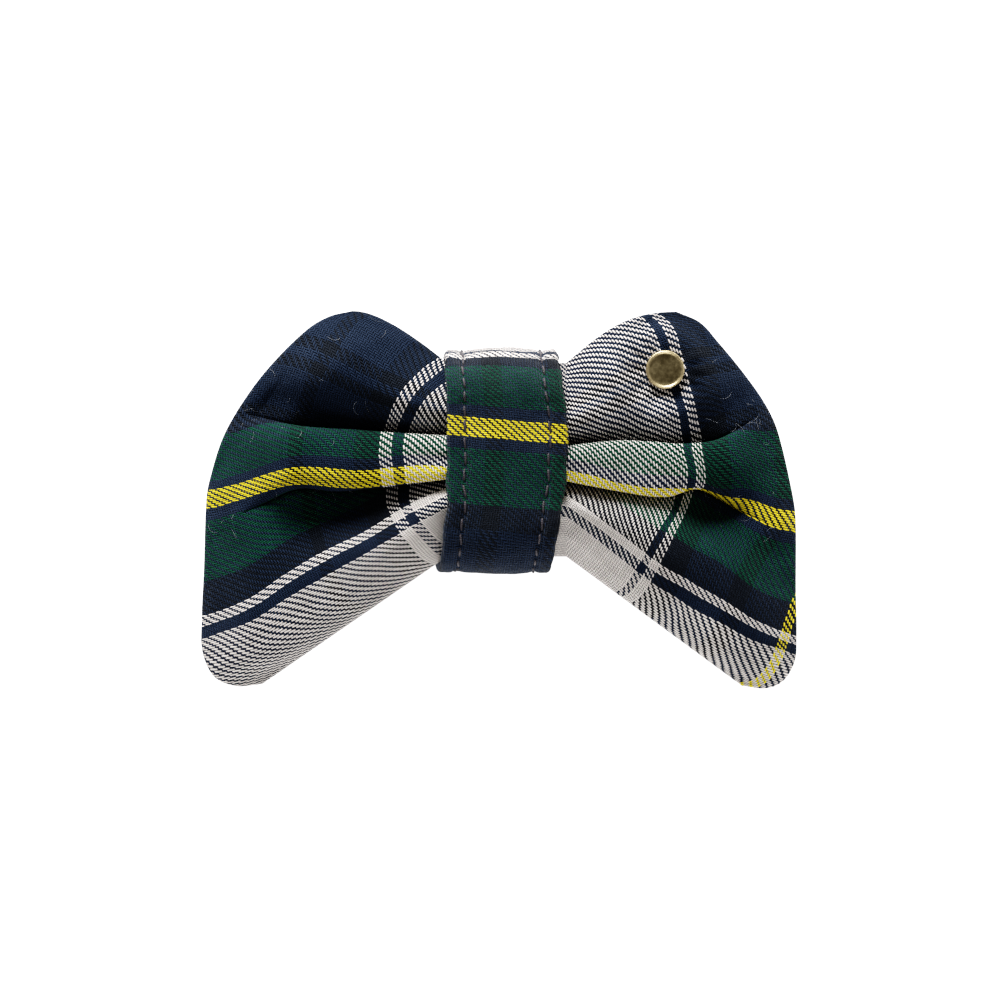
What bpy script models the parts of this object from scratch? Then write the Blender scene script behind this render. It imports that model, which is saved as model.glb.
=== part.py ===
"""Pet bow tie: a padded tartan bow, pleated at its neck, with a cloth band round it and one rivet.

The bow lies on its back. +X is its right as seen from the front, +Y its top and +Z out of its
front. The origin is on the surface that it lies on, under the middle of its box. Metres.
"""
import math
from collections import namedtuple

import bmesh
import bpy

# The whole bow, seen from its front
BOW_WIDTH = 0.1096
BOW_HEIGHT = 0.0691
NECK_HEIGHT = 0.0352
NECK_RISE = 0.0074          # the neck's middle above the middle of the bow's height

# How thick the padded cloth is
WING_THICKNESS = 0.0112
NECK_PAD = 0.0026           # padded cloth left at the bottom of a pleat
PLEAT_DEPTH = 0.0104
EDGE_ROLL = 0.0105          # how far in from a seam the padding reaches its full height
CROWN_SETTLES = 0.5         # share of the wing's length over which the neck's depth settles
WING_DROOP = 0.0068         # how far a wing's outer edge hangs below the neck's middle
DROOP_CURVE = 1.3           # the exponent that the droop grows with
BACK_FOLD_DEPTH = 0.0056    # the fold behind the middle lobe
BACK_FOLD_FADE = 1.5        # the exponent that it fades with along the wing
BACK_FOLD_SHOULDER = 0.0042

# The shoulders of a pleat, from its floor line to the top of the lobe beside it
SHOULDER_AT_NECK = 0.0031
SHOULDER_AT_END = 0.0072

# The band: a strap of folded cloth, sewn into a loop
BAND_WIDTH = 0.0216
BAND_WALL = 0.0018
BAND_OFFSET = 0.0014        # the band's middle to the right of the bow's middle
BAND_SLACK = 0.0010         # room above and below the neck inside the band
BAND_SKEW = 0.0006          # the strap leans this much at the top and bottom of its front
BACK_PANEL_SHIFT = 0.0014   # the strap's back panel lies this far to the left of its front
FRONT_TURN_RADIUS = 0.0092
BACK_TURN_RADIUS = 0.0064
BAND_EDGE_ROUND = 0.0006
COLLAR_ROOM = 0.0060        # clear depth behind the neck for the pet's collar
CORNER_STEPS = 6            # facets in a quarter turn

# The rivet in the upper right of the bow
RIVET_CAP_DIAMETER = 0.0070
RIVET_CAP_HEIGHT = 0.0012
RIVET_RIM_WIDTH = 0.0006
RIVET_DISH_DEPTH = 0.0003
RIVET_POST_DIAMETER = 0.0022
RIVET_GRIP = 0.0022         # cloth pressed between the two caps
RIVET_SINK = 0.0020         # how far the cap's seat lies below the padding round it
RIVET_DENT_FRONT = 0.0095   # how far from the rivet the padding is drawn in
RIVET_DENT_BACK = 0.0120
RIVET_ALONG = 0.588         # share of the way from the neck to the outer edge
RIVET_ACROSS = 0.520        # share of the top lobe, from its pleat to its seam
RIVET_STEPS = 24
CUTTER_REACH = 0.0120       # how far the hole's wide ends run out past their seats

# The caps' outsides, from their crown to their seat. inset counts rim widths in from the cap's
# edge, and down is the share of the cap's height.
Turn = namedtuple("Turn", "inset down")
FRONT_CAP_EDGE = (
    Turn(1.4, 0.12),
    Turn(1.0, 0.00),
    Turn(0.4, 0.15),
    Turn(0.0, 0.50),
    Turn(0.3, 1.00),
)
BACK_CAP_EDGE = (
    Turn(0.3, 0.00),
    Turn(0.0, 0.35),
    Turn(1.0, 0.80),
    Turn(2.0, 1.00),
)

# Between touching pieces
GAP = 0.0003

# The outer edge of each wing, from the bottom seam up to the top seam. cloth is the share of the
# cloth's height, out the share of the wing's length from the band, up the share of BOW_HEIGHT.
Edge = namedtuple("Edge", "cloth out up")
LEFT_OUTLINE = (
    Edge(0.000, 0.749, 0.013),
    Edge(0.025, 0.854, 0.006),
    Edge(0.060, 0.947, 0.030),
    Edge(0.100, 0.994, 0.090),
    Edge(0.179, 1.000, 0.170),
    Edge(0.300, 0.990, 0.316),
    Edge(0.457, 0.980, 0.501),
    Edge(0.520, 0.964, 0.560),
    Edge(0.630, 0.911, 0.668),
    Edge(0.700, 0.838, 0.753),
    Edge(0.800, 0.725, 0.851),
    Edge(0.900, 0.571, 0.950),
    Edge(0.960, 0.474, 0.987),
    Edge(1.000, 0.385, 1.000),
)
RIGHT_OUTLINE = (
    Edge(0.000, 0.759, 0.008),
    Edge(0.025, 0.862, 0.000),
    Edge(0.060, 0.940, 0.019),
    Edge(0.100, 0.989, 0.066),
    Edge(0.179, 1.000, 0.130),
    Edge(0.300, 0.997, 0.263),
    Edge(0.457, 0.996, 0.448),
    Edge(0.520, 0.981, 0.520),
    Edge(0.630, 0.918, 0.682),
    Edge(0.700, 0.862, 0.756),
    Edge(0.800, 0.767, 0.838),
    Edge(0.900, 0.651, 0.923),
    Edge(0.960, 0.573, 0.973),
    Edge(1.000, 0.474, 0.999),
)

# The lines that the cloth's lobes lie between: bottom seam, lower pleat, upper pleat, top seam.
# neck is the share of NECK_HEIGHT, cloth the outline's share where the line ends, depth the share
# of PLEAT_DEPTH, reach the share of the wing that the pleat runs along, and fade its exponent.
Line = namedtuple("Line", "neck cloth depth reach fade")
LEFT_LINES = (
    Line(0.000, 0.000, 0.00, 1.00, 1.0),
    Line(0.385, 0.400, 0.92, 0.86, 0.9),
    Line(0.635, 0.685, 1.00, 0.96, 0.8),
    Line(1.000, 1.000, 0.00, 1.00, 1.0),
)
RIGHT_LINES = (
    Line(0.000, 0.000, 0.00, 1.00, 1.0),
    Line(0.375, 0.420, 0.92, 0.88, 0.9),
    Line(0.610, 0.685, 1.00, 0.95, 0.8),
    Line(1.000, 1.000, 0.00, 1.00, 1.0),
)
TOP_EDGE_BULGE = {"left": 0.0014, "right": 0.0026}

# Where the mesh has its rows in each lobe, as shares from its lower line to its upper line, and
# its stations from the neck to the outer edge
LOBE_ROWS = (
    (0.00, 0.02, 0.05, 0.09, 0.14, 0.20, 0.29, 0.43, 0.60, 0.76, 0.85, 0.91, 0.96, 0.985),
    (0.00, 0.025, 0.07, 0.14, 0.25, 0.38, 0.50, 0.62, 0.75, 0.86, 0.93, 0.975),
    (0.00, 0.015, 0.04, 0.09, 0.15, 0.24, 0.41, 0.59, 0.75, 0.87, 0.94, 0.98, 1.00),
)
MIDDLE_LOBE = 1
TOP_LOBE = 2
WING_STATIONS = (0.0, 0.06, 0.14, 0.23, 0.33, 0.43, 0.53, 0.63, 0.73, 0.82, 0.89, 0.95, 0.985, 1.0)
NECK_STATIONS = (0.33, 0.67)

# Colours and finish
CLOTH_COLOUR = (0.020, 0.060, 0.065, 1.0)
BAND_COLOUR = (0.015, 0.075, 0.055, 1.0)
BRASS_COLOUR = (0.30, 0.23, 0.12, 1.0)
CLOTH_ROUGHNESS = 0.92
BRASS_ROUGHNESS = 0.38

# Heights and places that follow from the sizes above
NECK_BACK = BAND_WALL + COLLAR_ROOM
NECK_HALF_DEPTH = (PLEAT_DEPTH + NECK_PAD) / 2
NECK_MIDDLE = NECK_BACK + NECK_HALF_DEPTH
BAND_DEPTH = NECK_BACK + 2 * NECK_HALF_DEPTH + GAP + BAND_WALL
BAND_HALF_HEIGHT = NECK_HEIGHT / 2 + BAND_SLACK + BAND_WALL
WINGS = {
    "left": {
        "outline": LEFT_OUTLINE,
        "lines": LEFT_LINES,
        "neck_x": BAND_OFFSET - BAND_WIDTH / 2,
        "tip_x": -BOW_WIDTH / 2,
    },
    "right": {
        "outline": RIGHT_OUTLINE,
        "lines": RIGHT_LINES,
        "neck_x": BAND_OFFSET + BAND_WIDTH / 2,
        "tip_x": BOW_WIDTH / 2,
    },
}


def mix(start, end, share):
    """The value that lies at a share of the way from start to end."""
    return start + (end - start) * share


def smooth_lookup(rows, place):
    """The row of a table at a place in its first column, on a smooth curve through the rows."""
    last = len(rows) - 1
    index = 0
    while index < last - 1 and place > rows[index + 1][0]:
        index += 1
    before, low, high = rows[max(index - 1, 0)], rows[index], rows[index + 1]
    after = rows[min(index + 2, last)]
    span = high[0] - low[0]
    share = min(max((place - low[0]) / span, 0.0), 1.0)
    values = []
    for column in range(1, len(low)):
        slope_low = (high[column] - before[column]) / (high[0] - before[0]) * span
        slope_high = (after[column] - low[column]) / (after[0] - low[0]) * span
        rise = high[column] - low[column]
        values.append(
            low[column]
            + slope_low * share
            + (3 * rise - 2 * slope_low - slope_high) * share ** 2
            + (slope_low + slope_high - 2 * rise) * share ** 3
        )
    return values


def roll_off(distance, reach):
    """Padding's share of its full height at a distance in from a seam."""
    share = min(max(distance / reach, 0.0), 1.0)
    return math.sqrt(1 - (1 - share) ** 2)


def notch(distance, shoulder):
    """A pleat's share of its full depth at a distance from its floor line."""
    share = min(distance / shoulder, 1.0)
    return 1 - math.sqrt(1 - (1 - share) ** 2)


def dent(distance, flat, reach):
    """How far the padding is drawn in at a distance from the rivet, from 1 to 0."""
    share = min(max((distance - flat) / (reach - flat), 0.0), 1.0)
    return (1 - share ** 2) ** 2


def plan_point(side, station, lobe, across):
    """Where a point of the cloth lies in the plan, as x and y."""
    wing = WINGS[side]
    lower, upper = wing["lines"][lobe], wing["lines"][lobe + 1]
    neck_share = mix(lower.neck, upper.neck, across)
    out, up = smooth_lookup(wing["outline"], mix(lower.cloth, upper.cloth, across))
    neck_y = NECK_RISE + (neck_share - 0.5) * NECK_HEIGHT
    edge_x = mix(wing["neck_x"], wing["tip_x"], out)
    edge_y = (up - 0.5) * BOW_HEIGHT
    bulge = 0.0
    if lobe == TOP_LOBE:
        bulge = TOP_EDGE_BULGE[side] * math.sin(math.pi * station) * across ** 2
    return mix(wing["neck_x"], edge_x, station), mix(neck_y, edge_y, station) + bulge


def distance_between(first, second):
    """The distance between two points of the plan."""
    return math.hypot(first[0] - second[0], first[1] - second[1])


def pleat_depth(line, station):
    """How deep a pleat is at a station of its wing."""
    share = max(1 - station / line.reach, 0.0)
    return PLEAT_DEPTH * line.depth * share ** line.fade


def padded_heights(side, station, lobe, across):
    """The plan point of the cloth, and its front and back heights without the rivet's dent."""
    wing = WINGS[side]
    point = plan_point(side, station, lobe, across)
    out = abs(point[0] - wing["neck_x"]) / abs(wing["tip_x"] - wing["neck_x"])
    middle = NECK_MIDDLE - WING_DROOP * out ** DROOP_CURVE
    half = mix(NECK_HALF_DEPTH, WING_THICKNESS / 2, min(out / CROWN_SETTLES, 1.0))
    edge = plan_point(side, 1.0, lobe, across)
    seam = min(
        distance_between(point, plan_point(side, station, 0, 0.0)),
        distance_between(point, plan_point(side, station, TOP_LOBE, 1.0)),
    )
    crown = half * roll_off(seam, EDGE_ROLL) * roll_off(distance_between(point, edge), EDGE_ROLL)
    front = middle + crown
    back = middle - crown
    shoulder = mix(SHOULDER_AT_NECK, SHOULDER_AT_END, station)
    for lobe_above in (MIDDLE_LOBE, TOP_LOBE):
        line = wing["lines"][lobe_above]
        floor = plan_point(side, station, lobe_above, 0.0)
        front -= pleat_depth(line, station) * notch(distance_between(point, floor), shoulder)
    ridge = plan_point(side, station, MIDDLE_LOBE, 0.5)
    back_depth = BACK_FOLD_DEPTH * (1 - station) ** BACK_FOLD_FADE
    back += back_depth * notch(distance_between(point, ridge), BACK_FOLD_SHOULDER)
    return point, front, back


RIVET_POINT, RIVET_FRONT, RIVET_BACK = padded_heights(
    "right", RIVET_ALONG, TOP_LOBE, RIVET_ACROSS
)
FRONT_SEAT = RIVET_FRONT - RIVET_SINK
BACK_SEAT = FRONT_SEAT - RIVET_GRIP


def cloth_point(side, station, lobe, across):
    """The front and back points of the padded cloth, drawn in round the rivet."""
    point, front, back = padded_heights(side, station, lobe, across)
    away = distance_between(point, RIVET_POINT)
    flat = RIVET_CAP_DIAMETER / 2
    front -= (front - FRONT_SEAT) * dent(away, flat, RIVET_DENT_FRONT)
    back -= (back - BACK_SEAT) * dent(away, flat, RIVET_DENT_BACK)
    return (point[0], point[1], front), (point[0], point[1], back)


def cloth_sections():
    """Every section of the bow, from the left wing's outer edge to the right wing's."""
    rows = [(lobe, across) for lobe, shares in enumerate(LOBE_ROWS) for across in shares]
    sections = []
    for station in reversed(WING_STATIONS):
        sections.append([cloth_point("left", station, lobe, across) for lobe, across in rows])
    right = []
    for station in WING_STATIONS:
        right.append([cloth_point("right", station, lobe, across) for lobe, across in rows])
    left_neck, right_neck = sections[-1], right[0]
    for share in NECK_STATIONS:
        section = []
        for left_pair, right_pair in zip(left_neck, right_neck):
            section.append(tuple(
                tuple(mix(a, b, share) for a, b in zip(first, second))
                for first, second in zip(left_pair, right_pair)
            ))
        sections.append(section)
    return sections + right


def new_collection(name):
    """A collection in the scene."""
    collection = bpy.data.collections.new(name)
    bpy.context.scene.collection.children.link(collection)
    return collection


def new_material(name, colour, roughness, metallic):
    """A plain Principled material."""
    material = bpy.data.materials.new(name)
    material.use_nodes = True
    shader = material.node_tree.nodes["Principled BSDF"]
    shader.inputs["Base Color"].default_value = colour
    shader.inputs["Roughness"].default_value = roughness
    shader.inputs["Metallic"].default_value = metallic
    return material


def new_object(name, mesh, collection, material=None):
    """An object of a mesh, in a collection."""
    part = bpy.data.objects.new(name, mesh)
    collection.objects.link(part)
    if material is not None:
        mesh.materials.append(material)
    return part


def mesh_from(name, work):
    """A mesh of a bmesh, with its faces pointing out and shaded smooth."""
    bmesh.ops.recalc_face_normals(work, faces=work.faces)
    mesh = bpy.data.meshes.new(name)
    work.to_mesh(mesh)
    work.free()
    mesh.shade_smooth()
    return mesh


def bow_mesh():
    """The padded bow as one closed skin: a front and a back that share their seams."""
    work = bmesh.new()
    sections = cloth_sections()
    last_section = len(sections) - 1
    last_row = len(sections[0]) - 1
    front, back = [], []
    for index, section in enumerate(sections):
        front_row, back_row = [], []
        for row, (front_point, back_point) in enumerate(section):
            vertex = work.verts.new(front_point)
            front_row.append(vertex)
            on_seam = row in (0, last_row) or index in (0, last_section)
            back_row.append(vertex if on_seam else work.verts.new(back_point))
        front.append(front_row)
        back.append(back_row)
    for index in range(last_section):
        for row in range(last_row):
            corners = ((index, row), (index + 1, row), (index + 1, row + 1), (index, row + 1))
            work.faces.new([front[i][j] for i, j in corners])
            work.faces.new([back[i][j] for i, j in reversed(corners)])
    bmesh.ops.triangulate(work, faces=work.faces)
    return mesh_from("bow", work)


def turned_object(name, profile, collection, material=None):
    """A turned solid: a profile of radius and height that runs from the top down its outside."""
    mesh = bpy.data.meshes.new(name)
    vertices = [(radius, 0.0, height) for radius, height in profile]
    edges = [(index, index + 1) for index in range(len(profile) - 1)]
    mesh.from_pydata(vertices, edges, [])
    part = new_object(name, mesh, collection, material)
    part.location = (RIVET_POINT[0], RIVET_POINT[1], 0.0)
    screw = part.modifiers.new("turn", "SCREW")
    screw.axis = "Z"
    screw.steps = RIVET_STEPS
    screw.render_steps = RIVET_STEPS
    screw.use_merge_vertices = True
    screw.merge_threshold = 0.00001
    screw.use_smooth_shade = True
    return part


def make_rivet_hole(collection):
    """The room that the rivet's post and caps take up in the bow."""
    wide = RIVET_CAP_DIAMETER / 2 + GAP
    narrow = RIVET_POST_DIAMETER / 2 + GAP
    top = FRONT_SEAT + CUTTER_REACH
    bottom = BACK_SEAT - CUTTER_REACH
    profile = (
        (0.0, top),
        (wide, top),
        (wide, FRONT_SEAT),
        (narrow, FRONT_SEAT),
        (narrow, BACK_SEAT),
        (wide, BACK_SEAT),
        (wide, bottom),
        (0.0, bottom),
    )
    cutter = turned_object("rivet_room", profile, collection)
    cutter.hide_render = True
    cutter.display_type = "WIRE"
    return cutter


def make_bow(collection, cutter):
    """The padded two-layer cloth bow, with the hole that the rivet goes through."""
    material = new_material("bow tartan cloth", CLOTH_COLOUR, CLOTH_ROUGHNESS, 0.0)
    bow = new_object("bow", bow_mesh(), collection, material)
    hole = bow.modifiers.new("rivet hole", "BOOLEAN")
    hole.operation = "DIFFERENCE"
    hole.object = cutter
    return bow


def corner_arc(centre_y, centre_z, radius, start_degrees):
    """A quarter turn in the YZ plane, from a start angle counted from +Y towards +Z."""
    points = []
    for step in range(CORNER_STEPS + 1):
        angle = math.radians(start_degrees + 90 * step / CORNER_STEPS)
        points.append((centre_y + radius * math.cos(angle), centre_z + radius * math.sin(angle)))
    return points


def band_path():
    """The strap's outer face seen from the side: a loop of y and z, flat behind and in front."""
    front_y = BAND_HALF_HEIGHT - FRONT_TURN_RADIUS
    back_y = BAND_HALF_HEIGHT - BACK_TURN_RADIUS
    front_z = BAND_DEPTH - FRONT_TURN_RADIUS
    path = corner_arc(back_y, BACK_TURN_RADIUS, BACK_TURN_RADIUS, -90)
    path += corner_arc(front_y, front_z, FRONT_TURN_RADIUS, 0)
    path += [(front_y / 3, BAND_DEPTH), (-front_y / 3, BAND_DEPTH)]
    path += corner_arc(-front_y, front_z, FRONT_TURN_RADIUS, 90)
    path += corner_arc(-back_y, BACK_TURN_RADIUS, BACK_TURN_RADIUS, 180)
    return path


def make_centre_band(collection):
    """The cloth band: an open loop of strap with a wall of folded cloth and rounded edges."""
    work = bmesh.new()
    rims = []
    for y, z in band_path():
        lean = BAND_SKEW * y / BAND_HALF_HEIGHT
        middle = BAND_OFFSET + mix(-BACK_PANEL_SHIFT, lean, z / BAND_DEPTH)
        left = work.verts.new((middle - BAND_WIDTH / 2, y + NECK_RISE, z))
        right = work.verts.new((middle + BAND_WIDTH / 2, y + NECK_RISE, z))
        rims.append((left, right))
    for index, (left, right) in enumerate(rims):
        next_left, next_right = rims[(index + 1) % len(rims)]
        work.faces.new((left, right, next_right, next_left))
    material = new_material("band tartan cloth", BAND_COLOUR, CLOTH_ROUGHNESS, 0.0)
    band = new_object("centre_band", mesh_from("centre_band", work), collection, material)
    wall = band.modifiers.new("cloth wall", "SOLIDIFY")
    wall.thickness = BAND_WALL
    wall.offset = -1.0
    wall.use_even_offset = True
    rounding = band.modifiers.new("folded edges", "BEVEL")
    rounding.width = BAND_EDGE_ROUND
    rounding.segments = 2
    rounding.limit_method = "ANGLE"
    rounding.angle_limit = math.radians(50)
    return band


def cap_edge(turns, start, end):
    """The outside of a cap as radius and height, from one height to another."""
    radius = RIVET_CAP_DIAMETER / 2
    return [(radius - turn.inset * RIVET_RIM_WIDTH, mix(start, end, turn.down)) for turn in turns]


def make_rivet_cap(collection):
    """The rivet's front cap: a flat underside, a round rim and a shallow dish."""
    under = FRONT_SEAT + GAP
    top = under + RIVET_CAP_HEIGHT
    dish = top - RIVET_DISH_DEPTH
    dish_radius = RIVET_CAP_DIAMETER / 2 - 2 * RIVET_RIM_WIDTH
    profile = [(0.0, dish), (dish_radius, dish)]
    profile += cap_edge(FRONT_CAP_EDGE, top, under)
    profile.append((0.0, under))
    material = new_material("aged brass cap", BRASS_COLOUR, BRASS_ROUGHNESS, 1.0)
    return turned_object("rivet_cap", profile, collection, material)


def make_rivet_back(collection):
    """The rivet's back cap, with the post that goes through the cloth to the front cap."""
    post = RIVET_POST_DIAMETER / 2
    upper = BACK_SEAT - GAP
    lower = upper - RIVET_CAP_HEIGHT
    profile = [(0.0, FRONT_SEAT), (post, FRONT_SEAT), (post, upper)]
    profile += cap_edge(BACK_CAP_EDGE, upper, lower)
    profile.append((0.0, lower))
    material = new_material("aged brass back", BRASS_COLOUR, BRASS_ROUGHNESS, 1.0)
    return turned_object("rivet_back", profile, collection, material)


def main():
    """Clears the scene and makes the pet bow tie."""
    for part in list(bpy.data.objects):
        bpy.data.objects.remove(part, do_unlink=True)
    pieces = new_collection("pet bow tie")
    cutters = new_collection("cutters")
    make_bow(pieces, make_rivet_hole(cutters))
    make_centre_band(pieces)
    make_rivet_cap(pieces)
    make_rivet_back(pieces)


main()
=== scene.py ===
"""The dressed pet bow tie: padded tartan cloth, a stitched cloth band and one brass rivet.

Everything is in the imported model's own frame, in metres: the bow lies on its back, +X is its
right as seen from the front, +Y its top and +Z out of its front.
"""

import math
from collections import namedtuple

import bpy
import numpy as np
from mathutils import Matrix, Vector

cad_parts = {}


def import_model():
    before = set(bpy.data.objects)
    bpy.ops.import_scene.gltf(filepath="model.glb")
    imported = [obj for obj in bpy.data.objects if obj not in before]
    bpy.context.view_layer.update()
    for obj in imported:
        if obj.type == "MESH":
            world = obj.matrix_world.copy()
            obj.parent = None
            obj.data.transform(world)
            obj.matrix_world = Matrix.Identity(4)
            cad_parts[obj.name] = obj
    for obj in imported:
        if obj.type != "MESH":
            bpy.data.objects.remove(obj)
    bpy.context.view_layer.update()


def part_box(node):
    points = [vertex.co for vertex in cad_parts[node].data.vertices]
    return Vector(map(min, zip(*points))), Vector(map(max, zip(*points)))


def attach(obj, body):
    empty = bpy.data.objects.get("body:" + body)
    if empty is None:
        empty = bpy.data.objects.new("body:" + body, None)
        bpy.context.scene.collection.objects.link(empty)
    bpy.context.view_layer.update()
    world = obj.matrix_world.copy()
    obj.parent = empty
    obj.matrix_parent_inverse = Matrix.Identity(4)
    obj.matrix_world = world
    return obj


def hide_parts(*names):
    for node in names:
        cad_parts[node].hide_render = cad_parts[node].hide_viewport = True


SEED = 7

# Sizes of the model that the pieces are fitted to
BOW_WIDTH = 0.1096
BOW_HEIGHT = 0.0691
NECK_HEIGHT = 0.0352
NECK_RISE = 0.0074
WING_THICKNESS = 0.0112
NECK_PAD = 0.0026
PLEAT_DEPTH = 0.0104
EDGE_ROLL = 0.0105
CROWN_SETTLES = 0.5
WING_DROOP = 0.0068
DROOP_CURVE = 1.3
BACK_FOLD_DEPTH = 0.0056
BACK_FOLD_FADE = 1.5
BACK_FOLD_SHOULDER = 0.0042
SHOULDER_AT_NECK = 0.0031
SHOULDER_AT_END = 0.0072
BAND_WIDTH = 0.0216
BAND_WALL = 0.0018
BAND_OFFSET = 0.0014
BAND_SLACK = 0.0010
FRONT_TURN_RADIUS = 0.0092
BACK_TURN_RADIUS = 0.0064
COLLAR_ROOM = 0.0060
RIVET_CAP_DIAMETER = 0.0070
RIVET_GRIP = 0.0022
RIVET_DENT_FRONT = 0.0095
RIVET_DENT_BACK = 0.0120
GAP = 0.0003

NECK_BACK = BAND_WALL + COLLAR_ROOM
NECK_HALF_DEPTH = (PLEAT_DEPTH + NECK_PAD) / 2
NECK_MIDDLE = NECK_BACK + NECK_HALF_DEPTH
BAND_DEPTH = NECK_BACK + 2 * NECK_HALF_DEPTH + GAP + BAND_WALL
BAND_HALF_HEIGHT = NECK_HEIGHT / 2 + BAND_SLACK + BAND_WALL

# The outer edge of each wing: cloth is the share of the cloth's height, out the share of the
# wing's length and up the share of the bow's height
Edge = namedtuple("Edge", "cloth out up")
OUTLINES = {
    "left": (
        Edge(0.000, 0.749, 0.013), Edge(0.025, 0.854, 0.006), Edge(0.060, 0.947, 0.030),
        Edge(0.100, 0.994, 0.090), Edge(0.179, 1.000, 0.170), Edge(0.300, 0.990, 0.316),
        Edge(0.457, 0.980, 0.501), Edge(0.520, 0.964, 0.560), Edge(0.630, 0.911, 0.668),
        Edge(0.700, 0.838, 0.753), Edge(0.800, 0.725, 0.851), Edge(0.900, 0.571, 0.950),
        Edge(0.960, 0.474, 0.987), Edge(1.000, 0.385, 1.000),
    ),
    "right": (
        Edge(0.000, 0.759, 0.008), Edge(0.025, 0.862, 0.000), Edge(0.060, 0.940, 0.019),
        Edge(0.100, 0.989, 0.066), Edge(0.179, 1.000, 0.130), Edge(0.300, 0.997, 0.263),
        Edge(0.457, 0.996, 0.448), Edge(0.520, 0.981, 0.520), Edge(0.630, 0.918, 0.682),
        Edge(0.700, 0.862, 0.756), Edge(0.800, 0.767, 0.838), Edge(0.900, 0.651, 0.923),
        Edge(0.960, 0.573, 0.973), Edge(1.000, 0.474, 0.999),
    ),
}

# The lines between the lobes: bottom seam, lower pleat, upper pleat and top seam
Line = namedtuple("Line", "neck cloth depth reach fade")
LINES = {
    "left": (
        Line(0.000, 0.000, 0.00, 1.00, 1.0),
        Line(0.385, 0.400, 0.92, 0.86, 0.9),
        Line(0.635, 0.685, 1.00, 0.96, 0.8),
        Line(1.000, 1.000, 0.00, 1.00, 1.0),
    ),
    "right": (
        Line(0.000, 0.000, 0.00, 1.00, 1.0),
        Line(0.375, 0.420, 0.92, 0.88, 0.9),
        Line(0.610, 0.685, 1.00, 0.95, 0.8),
        Line(1.000, 1.000, 0.00, 1.00, 1.0),
    ),
}
TOP_EDGE_BULGE = {"left": 0.0014, "right": 0.0026}
TOP_EDGE_TURN = {"left": 0.0060, "right": 0.0010}
NECK_X = {"left": BAND_OFFSET - BAND_WIDTH / 2, "right": BAND_OFFSET + BAND_WIDTH / 2}
TIP_X = {"left": -BOW_WIDTH / 2, "right": BOW_WIDTH / 2}
BOTTOM, MIDDLE, TOP = 0, 1, 2

# Rows of the bow's mesh in each lobe, and its stations along a wing
LOBE_ROWS = (52, 44, 58)
WING_STATIONS = 102
NECK_STEPS = 5
ROW_CLUSTER = 0.66          # how strongly rows gather at the lobes' ends, from 0 to 1
STATION_CLUSTER = 0.50
SEAM_REACH = 1.15           # how far the padding rises from a seam, in the model's edge rolls
SEAM_SLOPE = 1.35           # how steeply it starts, in its mean slope
SEAM_HALF = 0.0005          # half the thickness of the seam's own fold
SEAM_CURL = 0.0009          # how far in from the seam the fold rounds off

# A pleat's lips: the middle lobe hangs over the pleat's floor, its neighbours rise slowly
LIP_TUCK = 0.0024           # how far the floor lies in under the lip
LIP_POWER = 2.3
LIP_OUT = 0.0007            # the lip stands this far out over the floor's own line
LIP_FADE = 1.6              # how long the lip keeps its lean while the pleat runs out
FAR_SHOULDER = 1.5          # the other side's shoulder, in the model's shoulders

# Where the pleat lines leave the straight lines of the model, as moves up in millimetres at shares
# of the wing, and the cloth that each pleat hides beyond what its form takes up, in threads
Bend = namedtuple("Bend", "station lower upper")
BENDS = {
    "left": (Bend(0.0, 0.0, 0.0), Bend(0.3, 0.6, -0.4), Bend(0.45, 1.0, -0.5),
             Bend(0.62, 2.7, -0.6), Bend(0.76, 1.4, -0.4), Bend(0.88, 0.4, -0.1),
             Bend(1.0, 0.0, 0.0)),
    "right": (Bend(0.0, 0.0, -0.9), Bend(0.25, 0.3, -1.3), Bend(0.43, 1.0, -2.5),
              Bend(0.57, 3.6, -3.4), Bend(0.75, 2.0, -3.2), Bend(1.0, 0.0, 0.0)),
}
HIDDEN = {
    "left": (Bend(0.0, 4.0, 0.0), Bend(0.3, 2.0, 2.0), Bend(0.6, 1.0, 5.0), Bend(0.85, 0.0, 0.0),
             Bend(1.0, 0.0, 0.0)),
    "right": (Bend(0.0, 6.0, 0.0), Bend(0.4, 3.5, 2.0), Bend(0.57, 0.5, 4.0), Bend(0.8, 0.0, 0.0),
              Bend(1.0, 0.0, 0.0)),
}

# Soft ridges and hollows of the front: middle, direction, size along and across, and rise
Form = namedtuple("Form", "x y turn along across rise")
FORMS = (
    Form(-0.0385, 0.0050, 75, 0.0060, 0.0022, 0.0012),
    Form(-0.0270, -0.0024, 10, 0.0085, 0.0040, -0.0054),
    Form(-0.0370, -0.0060, -60, 0.0060, 0.0040, -0.0012),
    Form(-0.0330, 0.0160, -10, 0.0120, 0.0034, -0.0034),
    Form(0.0400, -0.0014, 10, 0.0050, 0.0034, -0.0044),
    Form(0.0357, 0.0023, -60, 0.0030, 0.0016, 0.0006),
    Form(0.0420, -0.0060, -40, 0.0080, 0.0038, -0.0020),
    Form(0.0390, 0.0150, 25, 0.0060, 0.0026, -0.0020),
    Form(0.0215, 0.0165, -35, 0.0070, 0.0024, -0.0012),
)

# Wrinkles in the cloth
WAVES = 9                   # sine waves in a set of ripples
SOFT_RISE = 0.00022         # soft unevenness of the padding
SOFT_PITCH = 0.0150
PUCKER_RISE = 0.00022       # puckers along the seams
PUCKER_PITCH = 0.0055
PUCKER_FADE = 0.0040
GATHER_RISE = 0.00030       # creases that run out from under the band
GATHERS = 13
GATHER_REACH = 0.30
RIVET_WRINKLE_RISE = 0.00026
RIVET_WRINKLES = 11

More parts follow.
